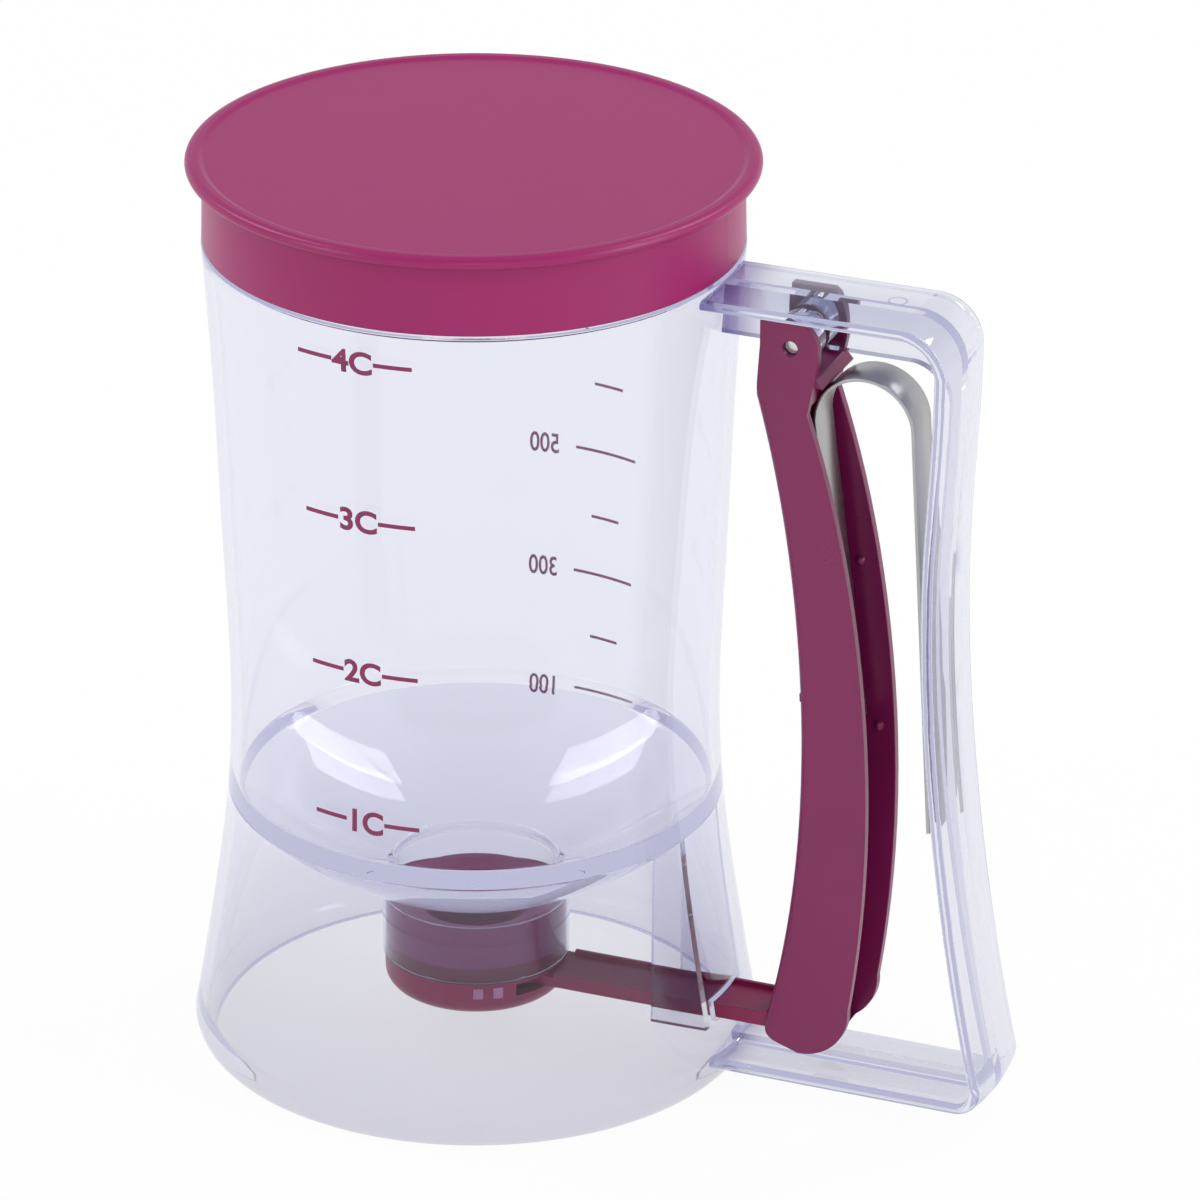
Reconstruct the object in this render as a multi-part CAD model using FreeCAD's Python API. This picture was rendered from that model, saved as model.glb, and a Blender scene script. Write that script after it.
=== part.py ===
import FreeCAD
import Part
import math
import os

# Pancake batter dispenser: a clear jug with a funnel floor, a squeeze trigger in the handle
# and a slide valve under the funnel. Millimetres. The jug's axis is Z, the table is z = 0,
# and the handle points along +X.

V = FreeCAD.Vector
MID_Y = V(0, 1, 0)

# Jug
WALL = 2.0                 # clear wall of the cup and the skirt
FOOT_R = 55.3              # widest radius, just above the foot
FOOT_ROUND = 2.3           # rounding under the foot
FOOT_WIDE_Z = 6.0          # height of the widest radius
FOOT_LAND = 1.6            # width of the flat ring that the jug stands on
SKIRT_R = 51.7             # radius part of the way down the skirt
SKIRT_Z = 28.0
HIP_R = 48.6
HIP_Z = 52.0
WAIST_R = 47.7             # narrowest radius of the jug
WAIST_Z = 70.0
CHEST_R = 48.8
CHEST_Z = 105.0
SHOULDER_R = 50.4
SHOULDER_Z = 143.0
LEDGE_R = 52.0             # top of the printed wall, where the lid's skirt stops
LEDGE_Z = 167.5
RIM_STEP = 1.9             # how far the rim stands in from the wall, under the lid
RIM_TALL = 13.5            # from the ledge up to the rim's edge
RIM_Z = LEDGE_Z + RIM_TALL

# Funnel and outlet neck
FUNNEL_Z = 56.0            # height at which the funnel meets the wall
FUNNEL_SAG = 2.0           # how far the funnel hangs below a straight cone
FUNNEL_WALL = 2.4
NECK_R = 18.5              # outside of the outlet neck
NECK_WALL = 1.6
NECK_TOP_Z = 36.5
NECK_FOOT_Z = 17.0
SEAT_STOP = 0.6            # step in the neck that the valve seat is pushed against
SEAT_TOP_Z = 29.0

# Lid
LID_R = 54.8
LID_PLATE = 2.4
LID_OVER_RIM = 1.2         # gap between the rim and the lid's plate
LID_TOP_Z = RIM_Z + LID_OVER_RIM + LID_PLATE
LID_ROUND = 1.1
LID_EDGE = 0.4             # flat run between the rounded edge and the sunk field
LID_WALL = 1.6
LID_SKIRT_GAP = 0.7        # between the lid's skirt and the ledge below it
LID_FIT = 0.15             # clearance of the skirt round the rim
PLUG_WALL = 1.4            # ring inside the rim that seals the lid
PLUG_DEEP = 9.0
TOP_RECESS = 0.4           # shallow sunk field in the lid's top
TOP_BORDER = 2.6

# Handle frame: a crowned band with a rib along its middle
BAND_W = 23.0
BAND_T = 2.2
BAND_CROWN = 0.8
BAND_TOP_Z = 167.2         # highest line of the top bar
BAND_FOOT_Z = 4.4          # lowest line of the foot bar
BAND_START_X = 40.0        # inside the wall, where the loop is trimmed to the jug
TOP_TURN_R = 10.0
FOOT_TURN_R = 6.0
COLUMN_TOP_X = 100.1
COLUMN_WAIST_X = 98.6
COLUMN_WAIST_Z = 119.0
COLUMN_MID_X = 102.9
COLUMN_MID_Z = 53.0
COLUMN_FOOT_X = 110.3
COLUMN_SPLAY = 13.0        # degrees that the column leans out at its foot
RIB_T = 3.0
TOP_RIB = 8.6              # depth of the rib under the top bar, below the band
RIB_TURN_R = 7.0           # rounding of the rib in the two corners
COLUMN_RIB = 2.0           # the return spring's right leg leans on this rib
FOOT_RIB = 2.4

# Trigger pivot
PIN_X = 67.9
PIN_Z = 158.6
PIN_R = 1.5
PIN_SINK = 1.6             # how far the pin's ends lie inside the ears
PIN_FIT = 0.06             # running clearance in the trigger's ears
BOSS_R = 4.3
BOSS_FIT = 0.02
EAR_GAP = 0.5              # between the boss and each ear

# Trigger
TRIGGER_W = 18.5
TRIGGER_WALL = 1.8
EAR_R = 5.6
EAR_TOP_Z = 163.6
EAR_LEFT_X = 61.9
TRIGGER_EDGE = 1.8         # rounding along the trigger's front edges
FRONT_LINE = ((61.1, 147.0), (65.3, 129.5), (69.6, 100.0), (70.9, 73.0), (69.4, 45.0), (64.4, 16.7))
BACK_LINE = ((81.7, 21.9), (84.6, 55.0), (82.3, 97.7), (77.6, 124.0), (71.4, 145.5))
TOE = ((64.9, 14.4), (66.6, 12.9))     # round end below the front line
SOLE = ((71.6, 11.2), (78.9, 14.2))    # end of the sloping sole, and the round heel
CHANNEL_FLOOR = ((68.0, 14.4), (72.0, 13.0))
EAR_DROP = 2.6             # how far the ears' straight back edge runs below the pin
HOOD_X = (62.5, 71.6, 72.4)
HOOD_TIP = (74.2, 150.9)
HOOD_FIT = 1.2             # clearance between the boss and the hood
RIB_SEAT_T = 1.6
RIB_SEAT_X = 70.0          # inside the trigger's front, where the ribs are trimmed to it
RIB_SEAT_Z = (86.0, 104.0, 122.0)
PIP_R = 1.0
PIP_Z = (76.0, 110.0)

# Return spring: one bent steel strip
STRIP_W = 9.4
STRIP_T = 0.7
ARCH_X = 81.1
ARCH_Z = 142.6
ARCH_R = 9.9
LEFT_LEG_X = 79.3
LEFT_LEG_Z = 79.5
RIGHT_LEG_X = 95.4
RIGHT_LEG_Z = 61.0
SPRING_SEAT = 0.3          # clearance where the strip lies on the ribs

# Slide valve
BLADE_R = 11.3
BLADE_T = 2.1
BLADE_TOP_Z = 16.0
BLADE_FIT = 0.2            # clearance above and below the blade
ARM_W = 12.0
ARM_LIP = 0.8              # raised edges along the arm
END_W = 9.0                # the arm's narrower end, in the trigger's window
END_STEP = 1.2             # how far its underside is cut away, because the trigger rises as it swings
WINDOW_FIT = 0.4           # clearance under the arm in the window
WINDOW_BACK_X = 71.0       # how far the window's floor runs on behind the hook
HOOK_T = 1.6
HOOK_TOP_Z = 20.0
HOOK_LEAN = 1.2            # how far the trigger's front leans back over the hook's height
HOOK_FIT = 0.4
STOP_T = 1.4               # low rib across the arm, against the trigger's front
STOP_RISE = 0.6
OUTLET_R = 9.9
SEAT_WALL = 1.8
SEAT_FIT = 0.15
SEAT_DISH = 2.0            # how far the seat's floor slopes down to its hole
CAP_R = 18.0
CAP_WALL = 1.6
CAP_FOOT_Z = 9.8
CAP_FLOOR = 1.8
CAP_ROUND = 3.4
SPIGOT_TALL = 3.0
SPIGOT_GAP = 1.5           # between the seat's nozzle and the cap's spigot
RAIL_OUT = 0.6             # how far outside the outlet the blade's two rails stand
SLOT_SIDE = 0.6            # clearance beside and over what slides through a slot
GUIDE_X = 40.5
GUIDE_T = 1.6
GUIDE_FOOT_Z = 12.0


def line(*points):
    """Straight edges through the points, in order."""
    return [Part.makeLine(a, b) for a, b in zip(points, points[1:])]


def arc(a, b, c):
    return Part.Arc(a, b, c).toShape()


def curve(points):
    """A smooth curve through the points."""
    spline = Part.BSplineCurve()
    spline.interpolate(points)
    return spline.toShape()


def xz(x, z):
    return V(x, 0, z)


def turned(edges):
    """The solid of revolution of a closed outline in the XZ plane."""
    face = Part.Face(Part.Wire(edges))
    return face.revolve(V(0, 0, 0), V(0, 0, 1), 360)


def plate(edges, thick, middle=0.0):
    """A closed outline in the XZ plane, made thick along Y about its middle."""
    face = Part.Face(Part.Wire(edges))
    face.translate(V(0, middle - thick / 2, 0))
    return face.extrude(V(0, thick, 0))


def block(x0, x1, width, z0, z1):
    """A box from x0 to x1, centred on Y."""
    return Part.makeBox(x1 - x0, width, z1 - z0, V(x0, -width / 2, z0))


def rod(x, z, radius, length, middle=0.0):
    """A cylinder along Y."""
    return Part.makeCylinder(radius, length, V(x, middle - length / 2, z), MID_Y)


# The jug's outline and what follows from it

def wall_points(inset):
    """Points of the wall from the foot up to the ledge."""
    sizes = ((FOOT_R, FOOT_WIDE_Z), (SKIRT_R, SKIRT_Z), (HIP_R, HIP_Z), (WAIST_R, WAIST_Z),
             (CHEST_R, CHEST_Z), (SHOULDER_R, SHOULDER_Z), (LEDGE_R, LEDGE_Z))
    return [xz(radius - inset, height) for radius, height in sizes]


def wall_radius(height, inset=0.0):
    """Radius of the wall at a height."""
    probe = Part.makeLine(xz(0, height), xz(2 * FOOT_R, height))
    return curve(wall_points(inset)).distToShape(probe)[1][0][0].x


def jug_envelope():
    """The jug with nothing hollowed out."""
    foot_in = FOOT_R - FOOT_ROUND
    points = wall_points(0)
    side = [
        arc(xz(foot_in, 0), xz(FOOT_R - 0.3 * FOOT_ROUND, FOOT_ROUND * 0.55), points[0]),
        curve(points),
    ]
    top = line(points[-1], xz(0, LEDGE_Z), xz(0, 0), xz(foot_in, 0))
    return turned(side + top)


def cup_hollow():
    """What the batter fills: cup, funnel and outlet."""
    rim_in = LEDGE_R - RIM_STEP - WALL
    cup = [xz(p.x, p.z) for p in wall_points(WALL) if p.z > FUNNEL_Z]
    low = xz(wall_radius(FUNNEL_Z, WALL), FUNNEL_Z)
    bore = NECK_R - NECK_WALL - SEAT_STOP
    top = xz(rim_in, LEDGE_Z)
    cup[-1] = top
    mid = xz((low.x + bore) / 2, (FUNNEL_Z + NECK_TOP_Z) / 2 - FUNNEL_SAG)
    lip = xz(bore, NECK_TOP_Z)
    edges = [arc(lip, mid, low), curve([low] + cup)]
    edges += line(top, xz(rim_in, RIM_Z), xz(0, RIM_Z), xz(0, SEAT_TOP_Z), xz(bore, SEAT_TOP_Z),
                  lip)
    return turned(edges)


def skirt_hollow():
    """The space under the funnel, round the neck."""
    wall = [p for p in wall_points(WALL) if p.z < HIP_Z]
    high_z = FUNNEL_Z - FUNNEL_WALL * 1.6
    high = xz(wall_radius(high_z, WALL), high_z)
    low_z = NECK_TOP_Z - FUNNEL_WALL * 1.4
    lip = xz(NECK_R, low_z)
    mid = xz((high.x + NECK_R) / 2, (high_z + low_z) / 2 - FUNNEL_SAG)
    foot = xz(FOOT_R - FOOT_ROUND - FOOT_LAND, 0)
    edges = line(xz(NECK_R, 0), foot, wall[0])
    edges += [curve(wall + [high]), arc(high, mid, lip)]
    edges += line(lip, xz(NECK_R, 0))
    return turned(edges)


def arm_slot():
    """Where the arm passes through the skirt."""
    low = BLADE_TOP_Z - BLADE_T - SLOT_SIDE
    return block(GUIDE_X, FOOT_R + 1, ARM_W + 2 * SLOT_SIDE, low, BLADE_TOP_Z + ARM_LIP + SLOT_SIDE)


def guide_ribs():
    """Two ribs under the funnel that keep the arm straight."""
    apart = ARM_W + 2 * SLOT_SIDE + GUIDE_T
    pair = []
    for side in (-1, 1):
        rib = Part.makeBox(FOOT_R - GUIDE_X, GUIDE_T, HIP_Z - GUIDE_FOOT_Z,
                           V(GUIDE_X, side * apart / 2 - GUIDE_T / 2, GUIDE_FOOT_Z))
        pair.append(rib)
    return pair[0].fuse(pair[1]).common(skirt_hollow())


def jug_moulding():
    """Cup, funnel, neck and skirt in one, as they are moulded."""
    rim = Part.makeCylinder(LEDGE_R - RIM_STEP, RIM_Z - LEDGE_Z, V(0, 0, LEDGE_Z))
    solid = jug_envelope().fuse(rim).removeSplitter()
    under = Part.makeCylinder(NECK_R, NECK_FOOT_Z)
    socket = Part.makeCylinder(NECK_R - NECK_WALL, SEAT_TOP_Z)
    return solid.cut(skirt_hollow()).cut(cup_hollow()).cut(under).cut(socket)


def cup_wall():
    """The moulding above the funnel's joint."""
    above = Part.makeCylinder(2 * FOOT_R, RIM_Z, V(0, 0, FUNNEL_Z))
    return jug_moulding().common(above).removeSplitter()


def funnel_core():
    """The space inside the skirt's wall and under the cup."""
    return Part.makeCylinder(wall_radius(FUNNEL_Z, WALL), FUNNEL_Z)


def funnel():
    """The moulding's sloping floor and the neck below it."""
    return jug_moulding().common(funnel_core()).removeSplitter()


def skirt():
    """The moulding's outer wall below the cup, with the arm's guide ribs."""
    below = Part.makeCylinder(2 * FOOT_R, FUNNEL_Z).cut(funnel_core())
    return jug_moulding().common(below).fuse(guide_ribs()).cut(arm_slot()).removeSplitter()


# Lid

def lid():
    skirt_foot = LEDGE_Z + LID_SKIRT_GAP
    under = LID_TOP_Z - LID_PLATE
    rim_out = LEDGE_R - RIM_STEP
    rim_in = rim_out - WALL
    inside = rim_out + LID_FIT
    outside = inside + LID_WALL
    flange = LID_R - LID_ROUND
    field = LID_R - TOP_BORDER
    plug = rim_in - LID_FIT
    edges = line(xz(0, under), xz(plug - PLUG_WALL, under), xz(plug - PLUG_WALL, RIM_Z - PLUG_DEEP),
                 xz(plug - PLUG_WALL / 2, RIM_Z - PLUG_DEEP), xz(plug, RIM_Z - PLUG_DEEP + 1),
                 xz(plug, under), xz(inside, under), xz(inside, skirt_foot),
                 xz(outside, skirt_foot), xz(outside - 0.3, under), xz(flange, under))
    edges.append(arc(xz(flange, under), xz(LID_R, under + LID_ROUND),
                     xz(flange, LID_TOP_Z - LID_EDGE / 4)))
    edges += line(xz(flange, LID_TOP_Z - LID_EDGE / 4), xz(flange - LID_EDGE, LID_TOP_Z),
                  xz(field, LID_TOP_Z), xz(field - 1, LID_TOP_Z - TOP_RECESS),
                  xz(0, LID_TOP_Z - TOP_RECESS), xz(0, under))
    return turned(edges)


# Handle frame

def column_line(inset, high, low):
    """The column's bowed line between two heights, upright at its top."""
    slope = math.radians(COLUMN_SPLAY)
    sizes = ((COLUMN_TOP_X, high), (COLUMN_WAIST_X, COLUMN_WAIST_Z),
             (COLUMN_MID_X, COLUMN_MID_Z), (COLUMN_FOOT_X, low))
    points = [xz(across - inset, height) for across, height in sizes]
    spline = Part.BSplineCurve()
    spline.interpolate(Points=points, InitialTangent=V(0, 0, -1),
                       FinalTangent=V(math.sin(slope), 0, -math.cos(slope)))
    return points, spline.toShape()


def band_path(top, column, foot, turn, heel):
    """The loop of the handle, set in by three amounts, with its two corner radii."""
    slope = math.radians(COLUMN_SPLAY)
    high = BAND_TOP_Z - top
    low = BAND_FOOT_Z + foot
    points, upright = column_line(column, high - turn, low + heel * (1 + math.sin(slope)))
    first, last = points[0], points[-1]
    begin = xz(first.x - turn, high)
    bend = xz(begin.x + turn * math.sqrt(0.5), high - turn * (1 - math.sqrt(0.5)))
    centre = xz(last.x - heel * math.cos(slope), low + heel)
    half_turn = math.radians(90 + COLUMN_SPLAY) / 2
    corner = centre + V(math.sin(half_turn), 0, -math.cos(half_turn)) * heel
    end = xz(centre.x, low)
    edges = line(xz(BAND_START_X, high), begin) + [arc(begin, bend, first), upright]
    return edges + [arc(last, corner, end)] + line(end, xz(BAND_START_X, low))


def band_section():
    """Crowned strip with round edges, in the YZ plane at the path's start."""
    half = BAND_W / 2 - BAND_T / 2
    edge = BAND_TOP_Z - BAND_CROWN
    under = edge - BAND_T

    def at(across, height):
        return V(BAND_START_X, across, height)

    top = arc(at(-half, edge), at(0, BAND_TOP_Z), at(half, edge))
    right = arc(at(half, edge), at(BAND_W / 2, (edge + under) / 2), at(half, under))
    low = arc(at(half, under), at(0, BAND_TOP_Z - BAND_T), at(-half, under))
    left = arc(at(-half, under), at(-BAND_W / 2, (edge + under) / 2), at(-half, edge))
    return Part.Wire([top, right, low, left])


def handle_frame():
    path = Part.Wire(band_path(0, 0, 0, TOP_TURN_R, FOOT_TURN_R))
    band = path.makePipeShell([band_section()], True, False)
    half = BAND_T / 2
    outer = band_path(half, half, half, TOP_TURN_R - half, FOOT_TURN_R - half)
    inner = band_path(BAND_T + TOP_RIB, BAND_T + COLUMN_RIB, BAND_T + FOOT_RIB,
                      RIB_TURN_R, RIB_TURN_R / 2)
    start, end = outer[0].Vertexes[0].Point, outer[-1].Vertexes[-1].Point
    inner_start, inner_end = inner[0].Vertexes[0].Point, inner[-1].Vertexes[-1].Point
    outline = outer + line(end, inner_end) + inner + line(inner_start, start)
    ribs = plate(Part.__sortEdges__(outline), RIB_T)
    boss = rod(PIN_X, PIN_Z, BOSS_R, TRIGGER_W - 2 * TRIGGER_WALL - 2 * EAR_GAP)
    solid = band.fuse([ribs, boss])
    solid = solid.cut(rod(PIN_X, PIN_Z, PIN_R + BOSS_FIT, TRIGGER_W))
    return solid.cut(jug_envelope()).removeSplitter()


# Trigger

def front_points(inset):
    """The trigger's front line, from its neck down to its foot."""
    return [xz(across + inset, height) for across, height in FRONT_LINE]


def trigger_outline():
    front = front_points(0)
    back = [xz(*point) for point in BACK_LINE]
    toe = [xz(*point) for point in TOE]
    sole = [xz(*point) for point in SOLE]
    ear_low = xz(PIN_X + EAR_R, PIN_Z - EAR_DROP)
    ear_right = xz(PIN_X + EAR_R, PIN_Z)
    rise = EAR_TOP_Z - PIN_Z
    ear_top = xz(PIN_X + math.sqrt(EAR_R ** 2 - rise ** 2), EAR_TOP_Z)
    bend = xz(PIN_X + EAR_R * math.cos(0.5), PIN_Z + EAR_R * math.sin(0.5))
    corner = xz(EAR_LEFT_X, EAR_TOP_Z)
    edges = line(corner, xz(EAR_LEFT_X, PIN_Z), front[0]) + [curve(front)]
    edges.append(arc(front[-1], toe[0], toe[1]))
    edges += line(toe[1], sole[0])
    edges.append(arc(sole[0], sole[1], back[0]))
    edges.append(curve(back))
    edges += line(back[-1], ear_low, ear_right)
    edges.append(arc(ear_right, bend, ear_top))
    return edges + line(ear_top, corner)


def channel_outline():
    """Hollow of the trigger, open towards the column."""
    front = front_points(TRIGGER_WALL)
    low, floor = [xz(*point) for point in CHANNEL_FLOOR]
    reach = COLUMN_TOP_X
    edges = [curve(front)]
    return edges + line(front[-1], low, floor, xz(reach, floor.z), xz(reach, front[0].z), front[0])


def ear_space():
    """Room between the ears for the frame's rib and boss."""
    low = PIN_Z - BOSS_R - HOOD_FIT
    return block(EAR_LEFT_X - 2, COLUMN_TOP_X, TRIGGER_W - 2 * TRIGGER_WALL, low, EAR_TOP_Z + 1)


def spring_hood():
    """Shelf between the ears, over the spring's arch."""
    high = PIN_Z - BOSS_R - HOOD_FIT
    low = high - TRIGGER_WALL
    left, middle, right = HOOD_X
    return plate(line(xz(left, high), xz(right, high), xz(*HOOD_TIP), xz(middle, low),
                      xz(left, low), xz(left, high)), TRIGGER_W - TRIGGER_WALL)


def leg_line():
    """Left leg of the spring: its foot and its unit direction upwards."""
    foot = xz(LEFT_LEG_X, LEFT_LEG_Z)
    toward = xz(ARCH_X - ARCH_R, ARCH_Z) - foot
    return foot, toward.normalize()


def seat_rib(height):
    """Cross rib in the channel that carries the spring's left leg."""
    foot, along = leg_line()
    across = foot.x + along.x / along.z * (height - foot.z) - STRIP_T - SPRING_SEAT
    return block(RIB_SEAT_X, across, TRIGGER_W - TRIGGER_WALL, height, height + RIB_SEAT_T)


def spring_pips():
    """Bumps on the channel's walls that keep the leg in its channel."""
    foot, along = leg_line()
    inside = TRIGGER_W / 2 - TRIGGER_WALL
    bumps = []
    for height in PIP_Z:
        across = foot.x + along.x / along.z * (height - foot.z) + PIP_R + SPRING_SEAT
        for side in (-1, 1):
            bumps.append(Part.makeSphere(PIP_R, V(across, side * inside, height)))
    return bumps


def foot_window():
    """Hole in the trigger's front for the arm's end, with room for the swing."""
    low = BLADE_TOP_Z - BLADE_T - WINDOW_FIT
    high = BLADE_TOP_Z + ARM_LIP + SLOT_SIDE
    return block(EAR_LEFT_X, WINDOW_BACK_X, END_W + 2 * SLOT_SIDE, low, high)


def trigger():
    shell = plate(trigger_outline(), TRIGGER_W)
    shell = shell.makeFillet(TRIGGER_EDGE, long_front_edges(shell))
    inside = TRIGGER_W - 2 * TRIGGER_WALL
    shell = shell.cut(plate(channel_outline(), inside)).cut(ear_space())
    ribs = [seat_rib(height) for height in RIB_SEAT_Z]
    ribs = [rib.common(plate(trigger_outline(), TRIGGER_W)) for rib in ribs]
    solid = shell.fuse(ribs + spring_pips() + [spring_hood()])
    solid = solid.cut(foot_window())
    return solid.cut(rod(PIN_X, PIN_Z, PIN_R + PIN_FIT, TRIGGER_W + 2)).removeSplitter()


def long_front_edges(shell):
    """The two edges that run along the trigger's front line."""
    found = []
    for edge in shell.Edges:
        box = edge.BoundBox
        if box.YLength < 0.01 and box.ZLength > (EAR_TOP_Z - TOE[1][1]) / 2 and box.Center.x < PIN_X + EAR_R / 2:
            found.append(edge)
    return found


# Pin and spring

def pivot_pin():
    length = TRIGGER_W - 2 * PIN_SINK
    pin = rod(PIN_X, PIN_Z, PIN_R, length)
    return pin.makeChamfer(0.3, [e for e in pin.Edges if e.Closed])


def strip_side(offset):
    """One face line of the strip, offset outwards from the arch's middle line."""
    radius = ARCH_R + offset
    left = xz(ARCH_X - radius, ARCH_Z)
    right = xz(ARCH_X + radius, ARCH_Z)
    crest = xz(ARCH_X, ARCH_Z + radius)
    left_foot = xz(LEFT_LEG_X - offset - STRIP_T / 2, LEFT_LEG_Z)
    right_foot = xz(RIGHT_LEG_X + offset + STRIP_T / 2, RIGHT_LEG_Z)
    return left_foot, left, crest, right, right_foot


def return_spring():
    outer = strip_side(STRIP_T / 2)
    inner = strip_side(-STRIP_T / 2)
    edges = line(outer[0], outer[1]) + [arc(*outer[1:4])] + line(outer[3], outer[4])
    edges += line(outer[4], inner[4], inner[3]) + [arc(*inner[3:0:-1])]
    edges += line(inner[1], inner[0], outer[0])
    return plate(edges, STRIP_W)


# Slide valve

def valve_slide():
    """Blade, arm and hook in one piece."""
    low = BLADE_TOP_Z - BLADE_T
    lip_z = BLADE_TOP_Z + ARM_LIP
    front_x = FRONT_LINE[-1][0]
    shoulder = front_x - HOOK_FIT
    hook_x = front_x + TRIGGER_WALL + HOOK_LEAN + HOOK_FIT
    blade = Part.makeCylinder(BLADE_R, BLADE_T, V(0, 0, low))
    arm = block(0, shoulder, ARM_W, low, BLADE_TOP_Z)
    lips = [Part.makeBox(shoulder - CAP_R - 1, ARM_LIP, ARM_LIP + BLADE_T,
                         V(CAP_R + 1, side * (ARM_W - ARM_LIP) / 2 - ARM_LIP / 2, low))
            for side in (-1, 1)]
    stop = block(shoulder - STOP_T, shoulder, ARM_W, low, lip_z + STOP_RISE)
    end = block(shoulder - STOP_T, hook_x + HOOK_T, END_W, low + END_STEP, lip_z)
    hook = block(hook_x, hook_x + HOOK_T, END_W, low + END_STEP, HOOK_TOP_Z)
    return blade.fuse([arm, stop, end, hook] + lips).removeSplitter()


def valve_seat():
    """Insert in the neck: a collar, a sloping floor and a nozzle down to the blade."""
    outer = NECK_R - NECK_WALL - SEAT_FIT
    foot = NECK_FOOT_Z + SPIGOT_TALL
    tip = BLADE_TOP_Z + BLADE_FIT
    edges = line(xz(OUTLET_R, tip), xz(OUTLET_R + SEAT_WALL, tip), xz(OUTLET_R + SEAT_WALL, foot),
                 xz(outer, foot), xz(outer, SEAT_TOP_Z), xz(outer - SEAT_WALL, SEAT_TOP_Z),
                 xz(OUTLET_R, SEAT_TOP_Z - SEAT_DISH), xz(OUTLET_R, tip))
    return turned(edges)


def retainer_cap():
    """Cap under the neck that holds the seat and guides the blade."""
    spigot_out = NECK_R - NECK_WALL - SEAT_FIT
    spigot_in = OUTLET_R + SEAT_WALL + SPIGOT_GAP
    floor = CAP_FOOT_Z + CAP_FLOOR
    inside = CAP_R - CAP_WALL
    edge = CAP_ROUND * (1 - math.sqrt(0.5))
    flat_end = xz(CAP_R - CAP_ROUND, CAP_FOOT_Z)
    side_foot = xz(CAP_R, CAP_FOOT_Z + CAP_ROUND)
    edges = line(xz(OUTLET_R, CAP_FOOT_Z), flat_end)
    edges.append(arc(flat_end, xz(CAP_R - edge, CAP_FOOT_Z + edge), side_foot))
    edges += line(side_foot, xz(CAP_R, NECK_FOOT_Z),
                  xz(spigot_out, NECK_FOOT_Z), xz(spigot_out, NECK_FOOT_Z + SPIGOT_TALL),
                  xz(spigot_in, NECK_FOOT_Z + SPIGOT_TALL), xz(spigot_in, BLADE_TOP_Z + BLADE_FIT),
                  xz(inside, BLADE_TOP_Z + BLADE_FIT), xz(inside, floor), xz(OUTLET_R, floor),
                  xz(OUTLET_R, CAP_FOOT_Z))
    cap = turned(edges)
    rails = [Part.makeBox(inside + BLADE_R, GUIDE_T, BLADE_TOP_Z - BLADE_T - BLADE_FIT - floor,
                          V(-BLADE_R, side * (OUTLET_R + RAIL_OUT) - GUIDE_T / 2, floor))
             for side in (-1, 1)]
    within = Part.makeCylinder(inside, BLADE_TOP_Z, V(0, 0, floor))
    cap = cap.fuse([rail.common(within) for rail in rails])
    mouth = block(0, CAP_R + 1, 2 * (BLADE_R + SLOT_SIDE), BLADE_TOP_Z - BLADE_T - BLADE_FIT,
                  BLADE_TOP_Z + BLADE_FIT)
    return cap.cut(mouth).removeSplitter()


NODES = {
    "cup_wall": cup_wall,
    "funnel": funnel,
    "skirt": skirt,
    "handle_frame": handle_frame,
    "lid": lid,
    "trigger": trigger,
    "pivot_pin": pivot_pin,
    "return_spring": return_spring,
    "valve_slide": valve_slide,
    "valve_seat": valve_seat,
    "retainer_cap": retainer_cap,
}

os.makedirs("parts", exist_ok=True)
for name, make in NODES.items():
    shape = make()
    if len(shape.Solids) == 1:
        shape = shape.Solids[0]
    shape.exportStep("parts/%s.step" % name)
    box = shape.BoundBox
    print("%-14s solids %d valid %s volume %.2f x %.1f..%.1f y %.1f..%.1f z %.1f..%.1f" % (
        name, len(shape.Solids), shape.isValid(), shape.Volume / 1000, box.XMin, box.XMax,
        box.YMin, box.YMax, box.ZMin, box.ZMax))
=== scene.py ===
import math

import bmesh
import bpy
from mathutils import Matrix, Vector


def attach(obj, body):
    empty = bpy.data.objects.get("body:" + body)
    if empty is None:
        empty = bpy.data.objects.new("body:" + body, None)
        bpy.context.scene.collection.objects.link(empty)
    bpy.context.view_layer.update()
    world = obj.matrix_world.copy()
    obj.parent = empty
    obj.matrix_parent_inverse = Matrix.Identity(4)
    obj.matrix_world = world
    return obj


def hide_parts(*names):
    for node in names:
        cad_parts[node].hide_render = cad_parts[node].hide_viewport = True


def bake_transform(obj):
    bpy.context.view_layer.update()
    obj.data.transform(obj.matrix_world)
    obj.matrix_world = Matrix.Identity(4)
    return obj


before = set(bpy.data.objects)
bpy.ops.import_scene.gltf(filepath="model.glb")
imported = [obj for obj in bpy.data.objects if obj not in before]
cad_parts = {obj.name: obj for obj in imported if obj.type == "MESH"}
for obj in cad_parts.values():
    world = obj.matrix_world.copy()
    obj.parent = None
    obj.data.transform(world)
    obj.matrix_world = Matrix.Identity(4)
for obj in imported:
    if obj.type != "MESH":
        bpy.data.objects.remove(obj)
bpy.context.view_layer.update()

# A clear batter jug with a plum lid, trigger and valve. The jug's axis is Z and the handle points
# along +X. Sizes are in millimetres, apart from those that are said to be in metres.

# Camera, fitted to the lid, the foot and the handle in a 1200 x 1200 picture
CAMERA_BACK = 1396.76
CAMERA_HIGH = 724.20
CAMERA_TURN = 0.01734
CAMERA_TILT = 0.42533
CAMERA_ROLL = -0.00403
CAMERA_LENS = 236.89
HANDLE_TURN = math.radians(23)

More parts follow.
